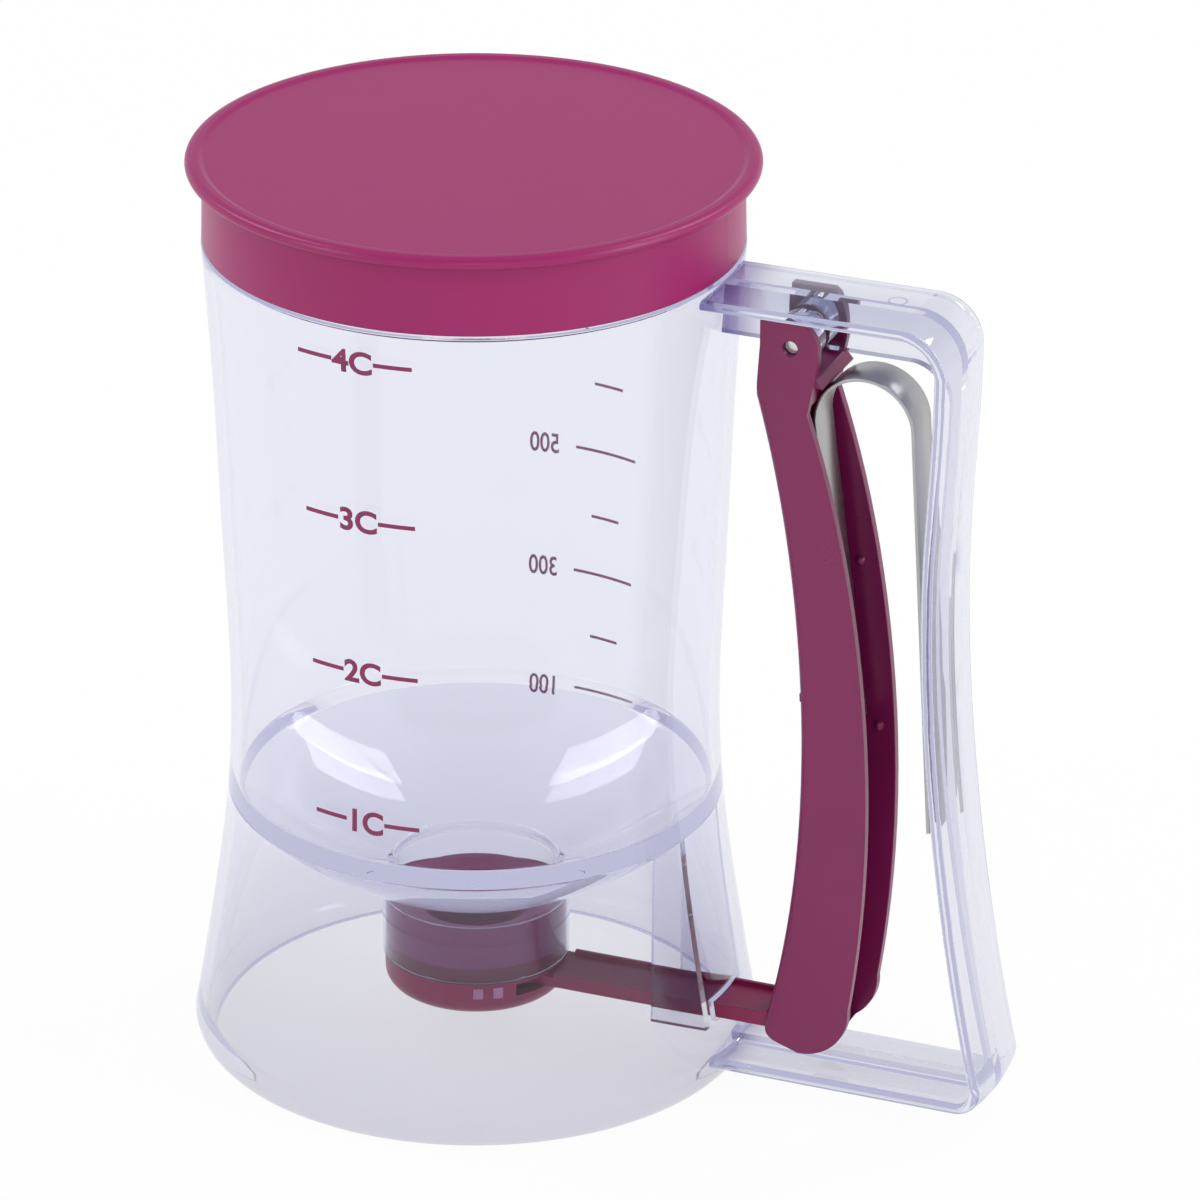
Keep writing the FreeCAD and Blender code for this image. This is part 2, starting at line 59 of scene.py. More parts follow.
# Jug wall: radius and height from the foot to the ledge under the lid
WALL_LINE = ((55.3, 6), (51.7, 28), (48.6, 52), (47.7, 70), (48.8, 105), (50.4, 143), (52.0, 167.5))
WALL = 2.0
RIM_STEP = 1.9
RIM_Z = 181.0
RIM_LEAN = 1.0                      # height under the ledge where the inside leans to the rim
FOOT_FLAT = (51.4, 53.0)
FOOT_ROUND = (54.61, 1.27)          # middle of the rounding outside the flat ring
FUNNEL_Z = 56.0
FUNNEL_UNDER_Z = 52.16
FUNNEL_SAG = 2.0
NECK_R = 18.5
NECK_BORE = 16.9
NECK_STOP = 16.3
NECK_TOP_Z = 36.5
NECK_UNDER_Z = 33.14
SEAT_Z = 29.0
NECK_FOOT_Z = 17.0
TURNS = 192
FOOT_STEPS = 6
WALL_STEPS = 60
CUP_STEPS = 44
FUNNEL_STEPS = 20
SKIRT_STEPS = 22
CORNER_STEPS = 3

# Arm's guide ribs and slot in the skirt
GUIDE_X = 40.5
GUIDE_Y = 7.4
GUIDE_T = 1.6
GUIDE_FOOT_Z = 12.0
GUIDE_SINK = 0.4                    # how far the ribs run into the wall and the funnel
GUIDE_SLOPE_STEPS = 60
GUIDE_WALL_STEPS = 16
SLOT_X = (GUIDE_X + 2, 60)
SLOT_HALF = 6.6
SLOT_Z = (13.3, 17.4)

# Return spring
SPRING_W = 9.4
SPRING_T = 0.7
SPRING_LINE_LEFT = (79.3, 79.5)
SPRING_LINE_RIGHT = (95.75, 61.0)
SPRING_ARCH = (81.1, 142.6, 9.9)    # middle in x and z, and radius
SPRING_STEPS = (20, 28, 24)         # along the left leg, the arch and the right leg

# Printed marks: azimuth in degrees and height
CUP_ROWS = ((160.9, "4C"), (128.0, "3C"), (96.1, "2C"), (64.5, "1C"))
CUP_DASHES = ((-106.5, -98.0), (-88.4, -80.0))
CUP_DASH_T = 0.85
CUP_TEXT = -93.2
CUP_TEXT_TALL = 4.8
CUP_TEXT_WIDE = 1.06
CUP_TEXT_WEIGHT = 0.030
LITRE_LONG = ((105.3, "500"), (79.0, "300"), (51.9, "100"))
LITRE_SHORT = (119.4, 91.3, 65.2)
LITRE_LONG_SPAN = (71.0, 88.0)
LITRE_SHORT_SPAN = (75.5, 83.4)
LITRE_DASH_T = 0.6
LITRE_TEXT = 96.0
LITRE_TEXT_TALL = 4.2
LITRE_TEXT_WIDE = 0.76
LITRE_TEXT_WEIGHT = 0.014
MARK_RADIUS = 50.0
INK_T = 0.03
INK_LIFT = 0.012
DASH_POINTS = 14                    # along a dash, so that it bends with the wall
FIGURE_EDGE = 0.0009                # in metres: longer edges of a figure are halved
FIGURE_ROUNDS = 3
RAY_START = 0.09                    # in metres: radius from which rays look for the wall
RAY_REACH = 0.1                     # in metres

# Moulded details
CAP_R = 18.0
CLIP_SPANS = ((-69.0, -63.0), (-56.5, -50.5))
CLIP_Z = (13.9, 16.1)
CLIP_PROUD = 0.25
CLIP_SINK = 0.3
CLIP_EDGE = 0.12
CLIP_STEPS = 6
EJECTOR_AT = (85.5, 0.9, 167.2)
EJECTOR_RING = (1.55, 1.95, 0.10)   # inner and outer radius, and height
EJECTOR_EDGE = 0.05
EJECTOR_TURNS = 48

# Painted glow: a ray still inside the clear plastic after so many turns ends in light of this tone
CAUGHT_AFTER = 8
MIRRORED_AFTER = 2
PAINTED_GLOW_TONE = (0.52, 0.53, 0.70)

# How white the floor is by itself, to the camera and in a mirror or through plastic
FLOOR_TO_CAMERA = 0.96
FLOOR_TO_BOUNCE = 0.74

# Sky that mirrors and clear plastic show, by height
SKY = ((0.0, (1, 1, 1, 1)), (0.22, (0.80, 0.81, 0.86, 1)), (0.5, (0.30, 0.32, 0.42, 1)),
       (0.8, (0.42, 0.43, 0.52, 1)))

# Softboxes: place, aim, width and height in metres, then watts. Places and aims run to the
# camera's right, away from it and up.
LAMPS = (
    ("left_bank", (-1.3, -0.7, 0.7), (0, 0, 0.09), 0.45, 1.1, 6),
    ("right_bank", (1.3, -0.6, 0.6), (0, 0, 0.09), 0.35, 1.0, 9),
    ("back_left", (-0.95, 0.58, 1.30), (0, 0, 0.05), 0.28, 0.75, 6.5),
    ("back_right", (0.95, 0.58, 1.30), (0, 0, 0.05), 0.24, 0.75, 6.5),
    ("front_fill", (0.1, -1.9, 0.9), (0, 0, 0.1), 0.6, 0.5, 4),
)


def mm(*values):
    return Vector([value / 1000 for value in values])


# Lines and shapes

def spline_through(points):
    """A natural cubic through (radius, height) points, as a function of height."""
    xs = [p[1] for p in points]
    ys = [p[0] for p in points]
    n = len(xs)
    gaps = [xs[i + 1] - xs[i] for i in range(n - 1)]
    second = [0.0] * n
    diagonal = [2 * (gaps[i] + gaps[i + 1]) for i in range(n - 2)]
    right = [6 * ((ys[i + 2] - ys[i + 1]) / gaps[i + 1] - (ys[i + 1] - ys[i]) / gaps[i])
             for i in range(n - 2)]
    for i in range(1, n - 2):
        share = gaps[i] / diagonal[i - 1]
        diagonal[i] -= share * gaps[i]
        right[i] -= share * right[i - 1]
    for i in range(n - 3, -1, -1):
        later = second[i + 2] * gaps[i + 1] if i < n - 3 else 0.0
        second[i + 1] = (right[i] - later) / diagonal[i]

    def at(height):
        height = min(max(height, xs[0]), xs[-1])
        i = max(k for k in range(n - 1) if xs[k] <= height)
        a = (xs[i + 1] - height) / gaps[i]
        b = (height - xs[i]) / gaps[i]
        bend = ((a ** 3 - a) * second[i] + (b ** 3 - b) * second[i + 1]) * gaps[i] ** 2 / 6
        return a * ys[i] + b * ys[i + 1] + bend

    return at


wall_at = spline_through(WALL_LINE)


def wall_run(low, high, inset, steps):
    """Points up the wall, set in from its outside."""
    span = [low + (high - low) * k / steps for k in range(steps + 1)]
    return [(wall_at(z) - inset, z) for z in span]


def arc_through(a, b, c, steps):
    """Points on the circle through three points, from a to c."""
    ax, ay, bx, by, cx, cy = *a, *b, *c
    d = 2 * (ax * (by - cy) + bx * (cy - ay) + cx * (ay - by))
    ux = ((ax * ax + ay * ay) * (by - cy) + (bx * bx + by * by) * (cy - ay)
          + (cx * cx + cy * cy) * (ay - by)) / d
    uy = ((ax * ax + ay * ay) * (cx - bx) + (bx * bx + by * by) * (ax - cx)
          + (cx * cx + cy * cy) * (bx - ax)) / d
    radius = math.hypot(ax - ux, ay - uy)
    start = math.atan2(ay - uy, ax - ux)
    end = math.atan2(cy - uy, cx - ux)
    turn = (end - start + math.pi) % (2 * math.pi) - math.pi
    return [(ux + radius * math.cos(start + turn * k / steps),
             uy + radius * math.sin(start + turn * k / steps)) for k in range(steps + 1)]


def softened(points, corners, radius=0.3):
    """The closed line with the named corners rounded."""
    out = []
    n = len(points)
    for i, point in enumerate(points):
        if i not in corners:
            out.append(point)
            continue
        here = Vector(point)
        before = Vector(points[i - 1]) - here
        after = Vector(points[(i + 1) % n]) - here
        cut = min(radius, before.length * 0.45, after.length * 0.45)
        a = here + before.normalized() * cut
        c = here + after.normalized() * cut
        for k in range(CORNER_STEPS + 1):
            t = k / CORNER_STEPS
            out.append(tuple(a * (1 - t) ** 2 + here * 2 * t * (1 - t) + c * t ** 2))
    return out


def placed(name, data):
    """A new object with this data, in the scene."""
    piece = bpy.data.objects.new(name, data)
    bpy.context.scene.collection.objects.link(piece)
    return piece


def mesh_piece(name, verts, faces):
    data = bpy.data.meshes.new(name)
    data.from_pydata([mm(*v) for v in verts], [], faces)
    data.validate()
    return placed(name, data)


def face_out(piece):
    work = bmesh.new()
    work.from_mesh(piece.data)
    bmesh.ops.remove_doubles(work, verts=work.verts, dist=1e-6)
    bmesh.ops.dissolve_degenerate(work, edges=work.edges, dist=1e-7)
    bmesh.ops.recalc_face_normals(work, faces=work.faces)
    work.to_mesh(piece.data)
    work.free()
    piece.data.validate()


def smooth(piece, degrees=35):
    piece.data.shade_smooth()
    piece.data.set_sharp_from_angle(angle=math.radians(degrees))


def turned(name, line, turns=TURNS):
    """A closed ring, turned from its closed (radius, height) line."""
    verts = []
    for k in range(turns):
        angle = 2 * math.pi * k / turns
        verts += [(r * math.cos(angle), r * math.sin(angle), z) for r, z in line]
    n = len(line)
    faces = []
    for k in range(turns):
        for i in range(n):
            j = (i + 1) % n
            a, b = k * n, ((k + 1) % turns) * n
            faces.append((a + i, b + i, b + j, a + j))
    piece = mesh_piece(name, verts, faces)
    face_out(piece)
    return piece


def slab(name, outline, low, high):
    """A closed XZ outline made thick from low to high along Y."""
    n = len(outline)
    verts = [(x, low, z) for x, z in outline] + [(x, high, z) for x, z in outline]
    faces = [tuple(range(n)), tuple(range(2 * n - 1, n - 1, -1))]
    faces += [(i, (i + 1) % n, n + (i + 1) % n, n + i) for i in range(n)]
    piece = mesh_piece(name, verts, faces)
    face_out(piece)
    return piece


def evaluated_mesh(holder):
    """A plain copy of the mesh that the object shows."""
    bpy.context.view_layer.update()
    seen = holder.evaluated_get(bpy.context.evaluated_depsgraph_get())
    return bpy.data.meshes.new_from_object(seen)


def baked(piece):
    """Gives the piece its evaluated mesh and takes its modifiers away."""
    data = evaluated_mesh(piece)
    piece.modifiers.clear()
    piece.data = data


def combined(piece, others, how):
    for other in others:
        step = piece.modifiers.new(how, "BOOLEAN")
        step.operation = how
        step.solver = "EXACT"
        step.object = other
    baked(piece)
    for other in others:
        bpy.data.objects.remove(other)


# Geometry Nodes trees with named inputs

def geometry_tree(name, objects, lengths):
    """A tree with its inputs: geometry, objects, lengths in metres and a finish."""
    tree = bpy.data.node_groups.new(name, "GeometryNodeTree")
    face = tree.interface
    face.new_socket(name="Geometry", in_out="INPUT", socket_type="NodeSocketGeometry")
    for label in objects:
        face.new_socket(name=label, in_out="INPUT", socket_type="NodeSocketObject")
    for label, value in lengths:
        face.new_socket(name=label, in_out="INPUT", socket_type="NodeSocketFloat").default_value = value
    face.new_socket(name="Finish", in_out="INPUT", socket_type="NodeSocketMaterial")
    face.new_socket(name="Geometry", in_out="OUTPUT", socket_type="NodeSocketGeometry")
    return tree, tree.nodes.new("NodeGroupInput"), tree.nodes.new("NodeGroupOutput")


def nodes_on(piece, tree, **values):
    """Puts a Geometry Nodes tree on a piece, with its inputs set by name."""
    step = piece.modifiers.new(tree.name, "NODES")
    step.node_group = tree
    for item in tree.interface.items_tree:
        if item.in_out == "INPUT" and item.name in values:
            step[item.identifier] = values[item.name]


# Shader groups shared by the finishes

def shader_group(name, inputs, outputs):
    tree = bpy.data.node_groups.new(name, "ShaderNodeTree")
    for label, value in inputs:
        socket = tree.interface.new_socket(name=label, in_out="INPUT", socket_type="NodeSocketFloat")
        socket.default_value = value
    for label in outputs:
        tree.interface.new_socket(name=label, in_out="OUTPUT", socket_type="NodeSocketFloat")
    return tree, tree.nodes.new("NodeGroupInput"), tree.nodes.new("NodeGroupOutput")


def math_node(tree, how, first, second=0.0):
    node = tree.nodes.new("ShaderNodeMath")
    node.operation = how
    for slot, value in zip(node.inputs, (first, second)):
        if isinstance(value, (int, float)):
            slot.default_value = value
        else:
            tree.links.new(value, slot)
    return node.outputs[0]


def noise_node(tree, place, scale, detail):
    node = tree.nodes.new("ShaderNodeTexNoise")
    node.inputs["Detail"].default_value = detail
    tree.links.new(place, node.inputs["Vector"])
    if isinstance(scale, (int, float)):
        node.inputs["Scale"].default_value = scale
    else:
        tree.links.new(scale, node.inputs["Scale"])
    return node.outputs["Fac"]


def satin_group():
    """Fine spark-eroded grain with broad, faint cloudiness, as on a moulded face."""
    tree, given, result = shader_group(
        "moulded_satin", (("Grain Scale", 2600.0), ("Roughness", 0.38), ("Spread", 0.08)),
        ("Roughness", "Height", "Cloud"))
    place = tree.nodes.new("ShaderNodeTexCoord").outputs["Object"]
    grain = noise_node(tree, place, given.outputs["Grain Scale"], 2.0)
    cloud = noise_node(tree, place, 38.0, 3.0)
    lift = math_node(tree, "MULTIPLY", math_node(tree, "SUBTRACT", cloud, 0.5), given.outputs["Spread"])
    fine = math_node(tree, "MULTIPLY", math_node(tree, "SUBTRACT", grain, 0.5), 0.10)
    total = math_node(tree, "ADD", math_node(tree, "ADD", given.outputs["Roughness"], lift), fine)
    tree.links.new(total, result.inputs["Roughness"])
    tree.links.new(grain, result.inputs["Height"])
    tree.links.new(cloud, result.inputs["Cloud"])
    return tree


def flow_group():
    """Long faint flow waves and a few dull streaks, as in clear moulded plastic."""
    tree, given, result = shader_group(
        "clear_flow", (("Wave Scale", 26.0), ("Roughness", 0.012)), ("Roughness", "Height"))
    coord = tree.nodes.new("ShaderNodeTexCoord").outputs["Object"]
    stretch = tree.nodes.new("ShaderNodeMapping")
    stretch.inputs["Scale"].default_value = (1.0, 1.0, 0.22)
    tree.links.new(coord, stretch.inputs["Vector"])
    wave = noise_node(tree, stretch.outputs[0], given.outputs["Wave Scale"], 1.5)
    dull = noise_node(tree, stretch.outputs[0], 210.0, 4.0)
    rough = math_node(tree, "ADD", given.outputs["Roughness"], math_node(tree, "MULTIPLY", dull, 0.02))
    tree.links.new(rough, result.inputs["Roughness"])
    tree.links.new(wave, result.inputs["Height"])
    return tree


def rolled_group():
    """Rolling lines along a steel strip."""
    tree, given, result = shader_group(
        "rolled_steel", (("Line Scale", 1400.0), ("Roughness", 0.30)), ("Roughness", "Height", "Tone"))
    coord = tree.nodes.new("ShaderNodeTexCoord").outputs["Object"]
    stretch = tree.nodes.new("ShaderNodeMapping")
    stretch.inputs["Scale"].default_value = (0.04, 1.0, 0.04)
    tree.links.new(coord, stretch.inputs["Vector"])
    lines = noise_node(tree, stretch.outputs[0], given.outputs["Line Scale"], 3.0)
    tone = noise_node(tree, coord, 60.0, 3.0)
    rough = math_node(tree, "ADD", given.outputs["Roughness"], math_node(tree, "MULTIPLY", lines, 0.14))
    tree.links.new(rough, result.inputs["Roughness"])
    tree.links.new(lines, result.inputs["Height"])
    tree.links.new(tone, result.inputs["Tone"])
    return tree


SATIN = satin_group()
FLOW = flow_group()
ROLLED = rolled_group()


def finish_material(name, group, values):
    """A material with the group placed in it; returns it with its tree, shader and group node."""
    material = bpy.data.materials.new(name)
    material.use_nodes = True
    tree = material.node_tree
    shader = tree.nodes["Principled BSDF"]
    effect = tree.nodes.new("ShaderNodeGroup")
    effect.node_tree = group
    for label, value in values.items():
        effect.inputs[label].default_value = value
    return material, tree, shader, effect


def bump_into(tree, shader, height, depth, edge=0.0):
    """Bump from a height in millimetres, over edges that look rounded by the edge radius."""
    bump = tree.nodes.new("ShaderNodeBump")
    if edge:
        rounded = tree.nodes.new("ShaderNodeBevel")
        rounded.samples = 4
        rounded.inputs["Radius"].default_value = edge / 1000
        tree.links.new(rounded.outputs[0], bump.inputs["Normal"])
    bump.inputs["Strength"].default_value = 1.0
    bump.inputs["Distance"].default_value = depth / 1000
    tree.links.new(height, bump.inputs["Height"])
    tree.links.new(bump.outputs[0], shader.inputs["Normal"])


def two_tones(tree, shader, factor, first, second):
    """Base colour that goes from the first tone to the second with the factor."""
    mix = tree.nodes.new("ShaderNodeMix")
    mix.data_type = "RGBA"
    mix.inputs["A"].default_value = (*first, 1)
    mix.inputs["B"].default_value = (*second, 1)
    tree.links.new(factor, mix.inputs["Factor"])
    tree.links.new(mix.outputs["Result"], shader.inputs["Base Color"])


def shader_blend(tree, share, first, second):
    """The first shader, or the second where the share is 1."""
    blend = tree.nodes.new("ShaderNodeMixShader")
    for slot, value in zip(blend.inputs, (share, first, second)):
        tree.links.new(value, slot)
    return blend.outputs[0]


def satin_plastic(name, colour, deep, roughness, edge=0.0, gloss=0.5):
    """Plum moulded plastic, its colour drifting a little between two near tones."""
    material, tree, shader, effect = finish_material(
        name, SATIN, {"Roughness": roughness})
    two_tones(tree, shader, effect.outputs["Cloud"], deep, colour)
    tree.links.new(effect.outputs["Roughness"], shader.inputs["Roughness"])
    shader.inputs["IOR"].default_value = 1.49
    shader.inputs["Specular IOR Level"].default_value = gloss
    bump_into(tree, shader, effect.outputs["Height"], 0.004, edge)
    return material


def clear_plastic(name, colour, painted_shade_colour, axis, reach, depth, bend):
    """Clear plastic with a violet tint; painted shade makes it deeper where reach, a pair of millimetres,
    starts on axis.
    """
    material, tree, shader, effect = finish_material(name, FLOW, {})
    place = tree.nodes.new("ShaderNodeSeparateXYZ")
    tree.links.new(tree.nodes.new("ShaderNodeTexCoord").outputs["Object"], place.inputs[0])
    rise = tree.nodes.new("ShaderNodeMapRange")
    rise.interpolation_type = "SMOOTHSTEP"
    rise.inputs["From Min"].default_value = reach[0] / 1000
    rise.inputs["From Max"].default_value = reach[1] / 1000
    tree.links.new(place.outputs[axis], rise.inputs["Value"])
    two_tones(tree, shader, rise.outputs["Result"], painted_shade_colour, colour)
    shader.inputs["Transmission Weight"].default_value = 1.0
    shader.inputs["IOR"].default_value = bend
    tree.links.new(effect.outputs["Roughness"], shader.inputs["Roughness"])
    bump_into(tree, shader, effect.outputs["Height"], depth)
    # Painted glow: a ray still inside the plastic after many turns or mirrorings ends in an emission of a
    # fixed tone
    path = tree.nodes.new("ShaderNodeLightPath")
    turns = math_node(tree, "GREATER_THAN", path.outputs["Ray Depth"], CAUGHT_AFTER)
    mirrored = math_node(tree, "GREATER_THAN", path.outputs["Glossy Depth"], MIRRORED_AFTER)
    painted_glow_share = math_node(tree, "MAXIMUM", turns, mirrored)
    glow = tree.nodes.new("ShaderNodeEmission")
    glow.inputs["Color"].default_value = (*PAINTED_GLOW_TONE, 1)
    seen = shader_blend(tree, painted_glow_share, shader.outputs[0], glow.outputs[0])
    tree.links.new(seen, tree.nodes["Material Output"].inputs[0])
    return material


def steel(name, colour, roughness, lines):
    material, tree, shader, effect = finish_material(
        name, ROLLED, {"Line Scale": lines, "Roughness": roughness})
    two_tones(tree, shader, effect.outputs["Tone"], [c * 0.86 for c in colour], colour)
    shader.inputs["Metallic"].default_value = 1.0
    tree.links.new(effect.outputs["Roughness"], shader.inputs["Roughness"])
    bump_into(tree, shader, effect.outputs["Height"], 0.003)
    return material


LID_PLUM = satin_plastic("lid_plum", (0.325, 0.009, 0.118), (0.295, 0.007, 0.103), 0.36, 0.4, 0.42)
TRIGGER_PLUM = satin_plastic("trigger_plum", (0.225, 0.010, 0.088), (0.195, 0.008, 0.076), 0.30, 0.3)
VALVE_PLUM = satin_plastic("valve_plum", (0.30, 0.010, 0.085), (0.26, 0.008, 0.07), 0.34, 0.3)
# Painted shade: the jug's clear colour darkens towards the foot, standing in for the shadow under the jug
# inside the skirt
JUG_CLEAR = clear_plastic("jug_clear", (0.905, 0.91, 0.96), (0.75, 0.745, 0.82),
                          "Z", (-5, 60), 0.05, 1.34)
# Painted shade and painted reflection of the plum lid: the handle turns dark violet towards its root at
# the jug
HANDLE_CLEAR = clear_plastic("handle_clear", (0.80, 0.81, 0.885), (0.25, 0.19, 0.42),
                             "X", (50, 62), 0.03, 1.42)
SEAT_PLUM = satin_plastic("seat_plum", (0.42, 0.085, 0.24), (0.38, 0.07, 0.215), 0.34)
CLIP_PALE = satin_plastic("clip_pale", (0.46, 0.22, 0.36), (0.42, 0.20, 0.33), 0.25)
SPRING_STEEL = steel("spring_strip", (0.47, 0.465, 0.46), 0.24, 1400.0)
PIN_STEEL = steel("pin_turned", (0.80, 0.80, 0.80), 0.24, 2200.0)
INK_FRONT = satin_plastic("mark_ink", (0.25, 0.022, 0.095), (0.22, 0.018, 0.082), 0.5)
# Painted light: the back marks are the same ink as the front ones, painted lighter to make up for the
# shade they sit in
INK_BACK_PAINTED_LIGHT = satin_plastic("mark_ink_back_painted_light", (0.46, 0.085, 0.23), (0.42, 0.075, 0.21), 0.5)


def painted(piece, material):
    piece.data.materials.clear()
    piece.data.materials.append(material)


def node_painted(node, material):
    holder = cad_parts[node]
    for holder_slot in holder.material_slots:
        holder_slot.link = "OBJECT"
        holder_slot.material = material


# Jug: cup, funnel, neck and skirt turned in one, then the arm's ribs and slot

def funnel_line(a, b, steps):
    middle = ((a[0] + b[0]) / 2, (a[1] + b[1]) / 2 - FUNNEL_SAG)
    return arc_through(a, middle, b, steps)


def jug_line():
    """Closed line of the jug's wall and its sharp corners."""
    ledge_z = WALL_LINE[-1][1]
    rim_out = WALL_LINE[-1][0] - RIM_STEP
    rim_in = rim_out - WALL
    wide_z = WALL_LINE[0][1]
    foot = arc_through((FOOT_FLAT[1], 0), FOOT_ROUND, WALL_LINE[0], FOOT_STEPS)
    line = [(FOOT_FLAT[0], 0)] + foot[:-1] + wall_run(wide_z, ledge_z, 0, WALL_STEPS)
    corners = {0, 1, len(line) - 1}
    for point in ((rim_out, ledge_z), (rim_out, RIM_Z), (rim_in, RIM_Z)):
        corners.add(len(line))
        line.append(point)
    inner = wall_run(FUNNEL_Z, ledge_z - RIM_LEAN, WALL, CUP_STEPS)[::-1]
    line += [(rim_in, ledge_z)] + inner
    corners.add(len(line) - 1)
    line += funnel_line(inner[-1], (NECK_STOP, NECK_TOP_Z), FUNNEL_STEPS)[1:]
    corners.add(len(line) - 1)
    for point in ((NECK_STOP, SEAT_Z), (NECK_BORE, SEAT_Z), (NECK_BORE, NECK_FOOT_Z),
                  (NECK_R, NECK_FOOT_Z), (NECK_R, NECK_UNDER_Z)):
        corners.add(len(line))
        line.append(point)
    under = (wall_at(FUNNEL_UNDER_Z) - WALL, FUNNEL_UNDER_Z)
    line += funnel_line((NECK_R, NECK_UNDER_Z), under, FUNNEL_STEPS)[1:]
    corners.add(len(line) - 1)
    line += wall_run(wide_z, FUNNEL_UNDER_Z, WALL, SKIRT_STEPS)[::-1][1:]
    return line, corners


def guide_rib(side):
    """Rib under the funnel that keeps the arm straight; it sinks a little into the wall."""
    y = GUIDE_Y + GUIDE_T / 2

    def across(radius):
        return math.sqrt(radius ** 2 - y ** 2)

    under = (wall_at(FUNNEL_UNDER_Z) - WALL, FUNNEL_UNDER_Z)
    funnel_run = funnel_line((NECK_R, NECK_UNDER_Z), under, GUIDE_SLOPE_STEPS)
    slope = [(across(r), z + GUIDE_SINK) for r, z in funnel_run if across(r) > GUIDE_X]
    skirt_run = wall_run(GUIDE_FOOT_Z, FUNNEL_UNDER_Z, WALL, GUIDE_WALL_STEPS)
    down = [(across(r) + GUIDE_SINK, z) for r, z in skirt_run[::-1]]
    outline = [(GUIDE_X, GUIDE_FOOT_Z), (GUIDE_X, slope[0][1])] + slope + down
    low, high = sorted((side * GUIDE_Y, side * (GUIDE_Y + GUIDE_T)))
    return slab("rib", outline, low, high)


line, corners = jug_line()
jug = turned("jug_shell", softened(line, corners))
combined(jug, [guide_rib(-1), guide_rib(1)], "UNION")
slot_outline = [(SLOT_X[0], SLOT_Z[0]), (SLOT_X[1], SLOT_Z[0]),
                (SLOT_X[1], SLOT_Z[1]), (SLOT_X[0], SLOT_Z[1])]
slot_box = slab("slot_box", slot_outline, -SLOT_HALF, SLOT_HALF)
combined(jug, [slot_box], "DIFFERENCE")
smooth(jug, 32)
painted(jug, JUG_CLEAR)
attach(jug, "jug")
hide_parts("cup_wall", "funnel", "skirt")


# Return spring, a strip swept along its bent line

def sweep_tree():
    """Geometry Nodes: a flat strip swept along a curve."""
    tree, given, result = geometry_tree("swept_strip", (), (
        ("Strip Width", SPRING_W / 1000), ("Strip Thickness", SPRING_T / 1000),
        ("Edge Round", SPRING_T / 4000)))
    section = tree.nodes.new("GeometryNodeCurvePrimitiveQuadrilateral")
    fillet = tree.nodes.new("GeometryNodeFilletCurve")
    fillet.mode = "POLY"
    fillet.inputs["Count"].default_value = 2
    sweep = tree.nodes.new("GeometryNodeCurveToMesh")
    sweep.inputs["Fill Caps"].default_value = True
    real = tree.nodes.new("GeometryNodeRealizeInstances")
    colour = tree.nodes.new("GeometryNodeSetMaterial")
    join = tree.links.new
    join(given.outputs["Strip Width"], section.inputs["Width"])
    join(given.outputs["Strip Thickness"], section.inputs["Height"])
    join(section.outputs[0], fillet.inputs["Curve"])
    join(given.outputs["Edge Round"], fillet.inputs["Radius"])
    join(given.outputs["Geometry"], sweep.inputs["Curve"])
    join(fillet.outputs[0], sweep.inputs["Profile Curve"])
    join(sweep.outputs[0], real.inputs[0])
    join(real.outputs[0], colour.inputs["Geometry"])
    join(given.outputs["Finish"], colour.inputs["Material"])
    join(colour.outputs[0], result.inputs[0])
    return tree


def spring_points():
    """The strip's middle line: up the left leg, over the arch and down the right leg."""
    x, z, r = SPRING_ARCH
    left_steps, arch_steps, right_steps = SPRING_STEPS
    angles = [math.pi * k / arch_steps for k in range(arch_steps + 1)]
    arch = [(x - r * math.cos(angle), z + r * math.sin(angle)) for angle in angles]
    left = [tuple(Vector(SPRING_LINE_LEFT).lerp(Vector(arch[0]), k / left_steps))
            for k in range(left_steps)]
    right = [tuple(Vector(arch[-1]).lerp(Vector(SPRING_LINE_RIGHT), k / right_steps))
             for k in range(1, right_steps + 1)]
    return left + arch + right


def strip_spring():
    points = spring_points()
    path = bpy.data.curves.new("strip_path", "CURVE")
    path.dimensions = "3D"
    run = path.splines.new("POLY")
    run.points.add(len(points) - 1)
    for knot, (x, z) in zip(run.points, points):
        knot.co = (*mm(x, 0, z), 1)
    maker = placed("strip_path", path)
    nodes_on(maker, sweep_tree(), Finish=SPRING_STEEL)
    data = evaluated_mesh(maker)
    bpy.data.objects.remove(maker)
    piece = placed("spring_strip", data)
    face_out(piece)
    smooth(piece, 30)
    painted(piece, SPRING_STEEL)
    return piece


spring = strip_spring()
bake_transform(spring)
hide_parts("return_spring")


# Printed marks: dashes and figures laid flat, then wrapped on the wall

